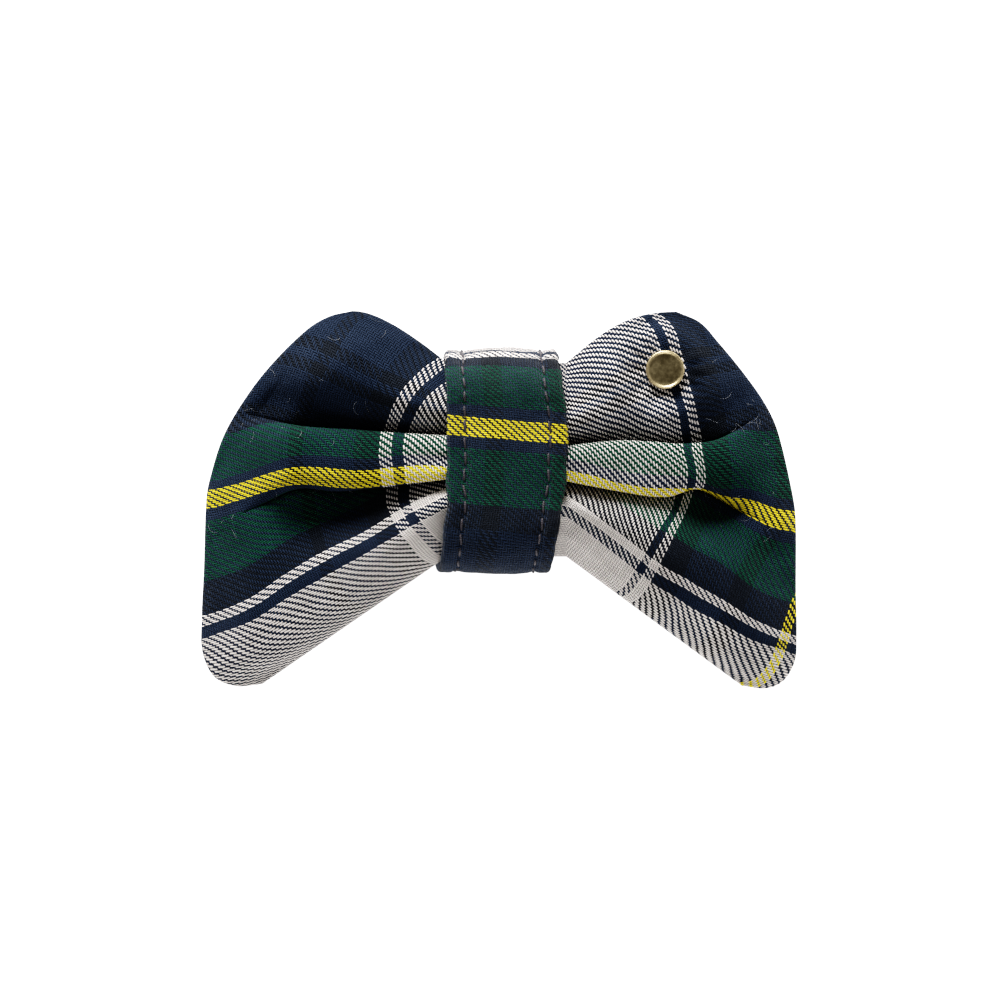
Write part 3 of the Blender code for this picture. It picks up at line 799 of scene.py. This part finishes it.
def turned_mesh(name, profile, centre):
    """A turned solid from a profile of radius and height that starts and ends on its axis."""
    angle = 2 * math.pi * np.arange(TURN_STEPS) / TURN_STEPS
    radius, height = np.array(profile[1:-1]).T
    x = centre[0] + radius[:, None] * np.cos(angle)
    y = centre[1] + radius[:, None] * np.sin(angle)
    z = np.broadcast_to(height[:, None], x.shape)
    body = np.stack([x, y, z], axis=-1).reshape(-1, 3)
    ends = [(centre[0], centre[1], profile[0][1]), (centre[0], centre[1], profile[-1][1])]
    points = np.concatenate([body, ends])
    top, bottom = len(body), len(body) + 1
    last = (len(radius) - 1) * TURN_STEPS
    faces = []
    for step in range(TURN_STEPS):
        after = (step + 1) % TURN_STEPS
        for ring in range(0, last, TURN_STEPS):
            inner = ring + TURN_STEPS
            faces.append([ring + step, inner + step, inner + after, ring + after])
        faces.append([top, step, after])
        faces.append([bottom, last + after, last + step])
    mesh = bpy.data.meshes.new(name)
    mesh.from_pydata(points.tolist(), [], faces)
    mesh.shade_smooth()
    piece = bpy.data.objects.new(name, mesh)
    bpy.context.scene.collection.objects.link(piece)
    return piece


class Nodes:
    """Builds a material's nodes with short calls. A value or a socket may be given as an input."""

    def __init__(self, name):
        self.material = bpy.data.materials.new(name)
        self.material.use_nodes = True
        self.tree = self.material.node_tree
        self.shader = self.tree.nodes["Principled BSDF"]

    def join(self, value, socket):
        """Links a socket to an input, or sets a plain value on it."""
        if isinstance(value, bpy.types.NodeSocket):
            self.tree.links.new(value, socket)
        elif value is not None:
            socket.default_value = value

    def node(self, kind, inputs=(), **settings):
        """A new node with settings, and its inputs by place or by name."""
        made = self.tree.nodes.new("ShaderNode" + kind)
        for key, value in settings.items():
            setattr(made, key, value)
        pairs = inputs.items() if isinstance(inputs, dict) else enumerate(inputs)
        for key, value in pairs:
            self.join(value, made.inputs[key])
        return made

    def math(self, operation, *values):
        """The result of a math node."""
        return self.node("Math", values, operation=operation).outputs[0]

    def vector(self, x, y, z=0.0):
        """A vector of three values."""
        return self.node("CombineXYZ", (x, y, z)).outputs[0]

    def blend(self, share, first, second):
        """A mix of two colours."""
        made = self.node("Mix", data_type="RGBA")
        self.join(share, made.inputs["Factor"])
        self.join(first, made.inputs["A"])
        self.join(second, made.inputs["B"])
        return made.outputs["Result"]

    def tint(self, colour, brightness):
        """A colour times a brightness."""
        made = self.node("VectorMath", operation="SCALE")
        self.join(colour, made.inputs[0])
        self.join(brightness, made.inputs["Scale"])
        return made.outputs[0]

    def limits(self, value, low, high, to_low=0.0, to_high=1.0):
        """A value moved smoothly from one range to another."""
        made = self.node("MapRange", (value, low, high, to_low, to_high))
        made.interpolation_type = "SMOOTHSTEP"
        return made.outputs[0]

    def noise(self, vector, scale, detail=2.0, roughness=0.5):
        """The value of a noise texture."""
        made = self.node("TexNoise", {"Vector": vector, "Scale": scale, "Detail": detail,
                                      "Roughness": roughness})
        return made.outputs[0]

    def stripes(self, thread, table):
        """The yarn's colour at a thread, from a table of stripes."""
        low = table[0].end - 40
        high = table[-1].end
        place = self.node("MapRange", (thread, low, high, 0.0, 1.0)).outputs[0]
        made = self.node("ValToRGB", (place,))
        ramp = made.color_ramp
        ramp.interpolation = "CONSTANT"
        starts = [low] + [stripe.end for stripe in table[:-1]]
        while len(ramp.elements) < len(table):
            ramp.elements.new(0.5)
        for element, start in zip(ramp.elements, starts):
            element.position = (start - low) / (high - low)
        for element, stripe in zip(ramp.elements, table):
            element.color = (*YARNS[stripe.yarn], 1.0)
        return made.outputs["Color"]


# How the twill is woven: threads along the bow go over two and under one, on a diagonal. A float
# is a rounded bump, with its length and width in threads.
REPEAT = 3
LONG_FLOAT = (1.24, 0.48)
CROSS_FLOAT = (1.12, 0.42)
FLOAT_EDGE = 0.12           # how softly one thread gives way to another
FLOAT_SLANT = -0.16         # how far a float leans off the diagonal, below 0 along it, in threads
GAP_SHADE = 0.04            # painted shade: how dark the colour is made between the threads, where shade falls
WANDER = 1.3                # how far threads stray, in threads
WANDER_SCALE = 0.085
BOW_FUZZ = 0.014            # how much light the cloth's loose fibres scatter
BAND_FUZZ = 0.080           # the strap is the more worn of the two


def twill_material(name, fuzz, bump=0.00016):
    """Yarn-dyed tartan cloth: each thread's colour, its float over and under, its fibres, and
    painted shade between the threads.
    """
    n = Nodes(name)
    uv = n.node("SeparateXYZ", (n.node("UVMap", uv_map="threads").outputs[0],)).outputs
    u, v = uv[0], uv[1]
    stray = {"Vector": n.vector(u, v, 2.0), "Scale": WANDER_SCALE, "Detail": 2.0}
    stray = n.node("TexNoise", stray).outputs["Color"]
    stray = n.node("SeparateColor", (stray,)).outputs
    u = n.math("MULTIPLY_ADD", n.math("SUBTRACT", stray[0], 0.5), WANDER, u)
    v = n.math("MULTIPLY_ADD", n.math("SUBTRACT", stray[1], 0.5), WANDER, v)
    turn = 2 * math.pi / REPEAT
    diagonal = n.math("MULTIPLY", n.math("ADD", n.math("ADD", u, v), -1.5), turn)
    sway = n.math("SINE", diagonal)
    u = n.math("MULTIPLY_ADD", sway, FLOAT_SLANT, u)
    v = n.math("MULTIPLY_ADD", sway, -FLOAT_SLANT, v)
    row, column = n.math("FLOOR", v), n.math("FLOOR", u)

    def float_height(along, index, start, across, size):
        place = n.math("FLOORED_MODULO", n.math("ADD", n.math("ADD", along, index), start), REPEAT)
        place = n.math("MULTIPLY", n.math("SUBTRACT", place, REPEAT / 2), 1 / size[0])
        side = n.math("MULTIPLY", n.math("SUBTRACT", n.math("FRACT", across), 0.5), 1 / size[1])
        squares = n.math("ADD", n.math("MULTIPLY", place, place), n.math("MULTIPLY", side, side))
        return n.math("SUBTRACT", 1.0, squares)

    long_height = float_height(u, row, 0.5, v, LONG_FLOAT)
    cross_height = float_height(v, column, -1.0, u, CROSS_FLOAT)
    on_top = n.limits(n.math("SUBTRACT", long_height, cross_height), -FLOAT_EDGE, FLOAT_EDGE)
    height = n.math("MAXIMUM", long_height, cross_height)
    long_tone = n.node("TexWhiteNoise", {"W": row}, noise_dimensions="1D").outputs["Value"]
    cross_tone = n.node("TexWhiteNoise", {"W": column}, noise_dimensions="1D").outputs["Value"]
    tone = n.math("ADD", n.math("MULTIPLY", long_tone, on_top),
                  n.math("MULTIPLY", cross_tone, n.math("SUBTRACT", 1.0, on_top)))
    colour = n.blend(on_top, n.stripes(n.math("ADD", column, 0.5), STRIPES_ALONG),
                     n.stripes(n.math("ADD", row, 0.5), STRIPES_UP))
    long_fibres = n.vector(n.math("MULTIPLY", u, 0.5), n.math("MULTIPLY", v, 4.0))
    cross_fibres = n.vector(n.math("MULTIPLY", u, 4.0), n.math("MULTIPLY", v, 0.5), 3.0)
    fibres = n.noise(n.blend(on_top, cross_fibres, long_fibres), 1.6, 3.0, 0.6)
    patches = n.noise(n.vector(u, v, 5.0), 0.09, 3.0, 0.6)
    # painted shade: the colour is darkened where the floats are low, between the threads; the
    # yarns' own tone, fibres and patches are multiplied in after
    painted_gap_shade_and_tone = n.limits(height, 0.0, 0.6, GAP_SHADE, 1.0)
    painted_gap_shade_and_tone = n.math("MULTIPLY", painted_gap_shade_and_tone, n.limits(tone, 0.0, 1.0, 0.90, 1.10))
    painted_gap_shade_and_tone = n.math("MULTIPLY", painted_gap_shade_and_tone, n.limits(fibres, 0.25, 0.75, 0.82, 1.18))
    painted_gap_shade_and_tone = n.math("MULTIPLY", painted_gap_shade_and_tone, n.limits(patches, 0.3, 0.7, 0.93, 1.07))
    colour = n.tint(colour, painted_gap_shade_and_tone)
    lint = n.noise(n.vector(u, v, 9.0), 0.9, 5.0, 0.75)
    colour = n.blend(n.limits(lint, 0.62, 0.80, 0.0, 0.05), colour, (0.42, 0.42, 0.44, 1.0))
    relief = n.math("ADD", height, n.math("MULTIPLY", fibres, 0.5))
    made = n.node("Bump", {"Strength": 1.0, "Distance": bump, "Height": relief})
    n.join(colour, n.shader.inputs["Base Color"])
    n.join(made.outputs[0], n.shader.inputs["Normal"])
    n.join(n.limits(fibres, 0.2, 0.8, 0.78, 0.98), n.shader.inputs["Roughness"])
    n.shader.inputs["Specular IOR Level"].default_value = 0.05
    n.shader.inputs["Sheen Weight"].default_value = fuzz
    n.shader.inputs["Sheen Roughness"].default_value = 0.45
    return n.material


def thread_material():
    """Twisted sewing thread, dark mauve grey, with painted shade between its plies and a painted
    highlight on their crests.
    """
    n = Nodes("sewing thread")
    uv = n.node("SeparateXYZ", (n.node("UVMap", uv_map="threads").outputs[0],)).outputs
    turn = n.math("MULTIPLY", n.math("ADD", n.math("MULTIPLY", uv[0], 1.5), uv[1]), 4 * math.pi)
    ply = n.math("MULTIPLY_ADD", n.math("SINE", turn), 0.5, 0.5)
    place = n.node("TexCoord").outputs["Object"]
    fibres = n.noise(place, 9000.0, 2.0, 0.6)
    # painted shade and highlight: darker where the twist dips between the plies, paler on their
    # crests
    colour = n.blend(ply, (0.010, 0.008, 0.011, 1.0), (0.040, 0.030, 0.039, 1.0))
    n.join(n.tint(colour, n.limits(fibres, 0.3, 0.7, 0.7, 1.3)), n.shader.inputs["Base Color"])
    relief = n.math("MULTIPLY_ADD", fibres, 0.4, ply)
    bump = n.node("Bump", {"Strength": 1.0, "Distance": 0.00006, "Height": relief})
    n.join(bump.outputs[0], n.shader.inputs["Normal"])
    n.join(n.limits(fibres, 0.3, 0.7, 0.50, 0.70), n.shader.inputs["Roughness"])
    n.shader.inputs["Sheen Weight"].default_value = 0.04
    return n.material


def lint_material():
    """Pale loose fibres."""
    n = Nodes("lint")
    tone = n.noise(n.node("TexCoord").outputs["Object"], 900.0)
    colour = n.blend(tone, (0.16, 0.17, 0.19, 1.0), (0.40, 0.40, 0.40, 1.0))
    n.join(colour, n.shader.inputs["Base Color"])
    n.shader.inputs["Roughness"].default_value = 0.9
    n.shader.inputs["Sheen Weight"].default_value = 0.3
    return n.material


def brass_material(rivet):
    """Aged brass: duller in the middle, worn bright on the round rim, with a fine grain."""
    n = Nodes("aged brass")
    place = n.node("TexCoord").outputs["Object"]
    centre = (rivet[0], rivet[1], 0.0)
    offset = n.node("VectorMath", (place, centre), operation="SUBTRACT").outputs[0]
    parts = n.node("SeparateXYZ", (offset,)).outputs
    radius = n.math("SQRT", n.math("ADD", n.math("MULTIPLY", parts[0], parts[0]),
                                   n.math("MULTIPLY", parts[1], parts[1])))
    stains = n.noise(place, 620.0, 5.0, 0.65)
    grain = n.noise(place, 5200.0, 3.0, 0.6)
    worn = n.limits(n.math("MULTIPLY_ADD", stains, 0.0010, radius), 0.0033, 0.0038)
    dull = n.blend(n.limits(stains, 0.35, 0.65),
                   (0.240, 0.190, 0.102, 1.0), (0.320, 0.258, 0.146, 1.0))
    colour = n.blend(worn, dull, (0.60, 0.48, 0.27, 1.0))
    n.join(n.tint(colour, n.limits(grain, 0.3, 0.7, 0.88, 1.12)), n.shader.inputs["Base Color"])
    n.join(n.limits(stains, 0.3, 0.7, 0.30, 0.46), n.shader.inputs["Roughness"])
    relief = n.math("MULTIPLY_ADD", grain, 0.35, stains)
    bump = n.node("Bump", {"Strength": 0.5, "Distance": 0.00005, "Height": relief})
    n.join(bump.outputs[0], n.shader.inputs["Normal"])
    n.shader.inputs["Metallic"].default_value = 1.0
    return n.material


def make_bow(rivet, cloth):
    """The padded tartan bow."""
    bow = bow_mesh(rivet)
    bow.data.materials.append(cloth)
    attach(bow, "root")
    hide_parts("bow")


def make_band(cloth):
    """The band of folded cloth and its two rows of stitches."""
    path = band_path()
    band = band_mesh(path)
    band.data.materials.append(cloth)
    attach(band, "root")
    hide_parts("centre_band")
    thread = thread_material()
    for name, side in (("stitches_left", -1), ("stitches_right", 1)):
        row = tubes_mesh(name, *stitch_lines(path, side), STITCH_SIDES)
        row.data.materials.append(thread)
        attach(row, "root")


def make_lint(rivet):
    """Loose fibres on the bow's front."""
    front = bow_sections(rivet)[0]
    lint = tubes_mesh("lint", *lint_lines(front), 3)
    lint.data.materials.append(lint_material())
    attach(lint, "root")


def make_rivet(rivet):
    """The rivet's cap and back, turned finely."""
    brass = brass_material(rivet)
    pieces = (
        ("brass_cap", "rivet_cap", CAP_PROFILE, rivet[2]),
        ("brass_back", "rivet_back", BACK_PROFILE, rivet[3]),
    )
    for name, node, profile, seat in pieces:
        metres = [(radius / 1000, seat + height / 1000) for radius, height in profile]
        piece = turned_mesh(name, metres, rivet)
        piece.data.materials.append(brass)
        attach(piece, "root")
        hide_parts(node)


def make_floor():
    """The plain pale surface that the bow lies on."""
    signs = ((-1, -1), (1, -1), (1, 1), (-1, 1))
    corners = [(x * FLOOR_HALF, y * FLOOR_HALF, 0.0) for x, y in signs]
    floor = mesh_object("floor", corners, [(0, 1, 2, 3)])
    n = Nodes("pale floor")
    n.shader.inputs["Base Color"].default_value = (0.93, 0.93, 0.93, 1.0)
    n.shader.inputs["Roughness"].default_value = 0.9
    n.shader.inputs["Emission Color"].default_value = (1.0, 1.0, 1.0, 1.0)
    n.shader.inputs["Emission Strength"].default_value = FLOOR_GLOW
    floor.data.materials.append(n.material)


def make_light(light):
    """A soft square light that faces the bow."""
    data = bpy.data.lights.new(light.name, "AREA")
    data.shape = "SQUARE"
    data.size = light.size
    data.energy = light.power
    lamp = bpy.data.objects.new(light.name, data)
    lamp.location = light.place
    facing = Vector(LIGHT_AIM) - Vector(light.place)
    lamp.rotation_euler = facing.to_track_quat("-Z", "Y").to_euler()
    bpy.context.scene.collection.objects.link(lamp)


def make_world():
    """A pale world that is darker overhead than at its horizon."""
    world = bpy.data.worlds.new("studio")
    world.use_nodes = True
    nodes, links = world.node_tree.nodes, world.node_tree.links
    split = nodes.new("ShaderNodeSeparateXYZ")
    grade = nodes.new("ShaderNodeMapRange")
    grade.inputs["From Min"].default_value = 0.45
    grade.inputs["From Max"].default_value = 1.0
    grade.inputs["To Min"].default_value = HORIZON_LIGHT
    grade.inputs["To Max"].default_value = ZENITH_LIGHT
    grade.interpolation_type = "SMOOTHSTEP"
    links.new(nodes.new("ShaderNodeTexCoord").outputs["Generated"], split.inputs[0])
    links.new(split.outputs["Z"], grade.inputs["Value"])
    links.new(grade.outputs[0], nodes["Background"].inputs["Strength"])
    nodes["Background"].inputs["Color"].default_value = (1.0, 1.0, 1.0, 1.0)
    bpy.context.scene.world = world


def make_studio():
    """Soft studio light, a pale world and the camera, which looks straight down at the bow."""
    for light in LIGHTS:
        make_light(light)
    make_world()
    data = bpy.data.cameras.new("camera")
    data.lens = CAMERA_LENS
    data.sensor_width = SENSOR_WIDTH
    data.clip_start = 0.01
    camera = bpy.data.objects.new("camera", data)
    camera.location = CAMERA_PLACE
    bpy.context.scene.collection.objects.link(camera)
    bpy.context.scene.camera = camera
    view = bpy.context.scene.view_settings
    view.view_transform = "Standard"
    view.look = "None"
    view.use_curve_mapping = True
    mapping = view.curve_mapping
    mapping.extend = "EXTRAPOLATED"
    curve = mapping.curves[3]
    curve.points[0].location = TONES[0]
    curve.points[1].location = TONES[-1]
    for tone in TONES[1:-1]:
        curve.points.new(*tone)
    mapping.update()


def main():
    """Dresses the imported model."""
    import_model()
    rivet = rivet_place()
    make_bow(rivet, twill_material("tartan twill", BOW_FUZZ))
    make_band(twill_material("worn tartan twill", BAND_FUZZ))
    make_lint(rivet)
    make_rivet(rivet)
    make_floor()
    make_studio()


main()
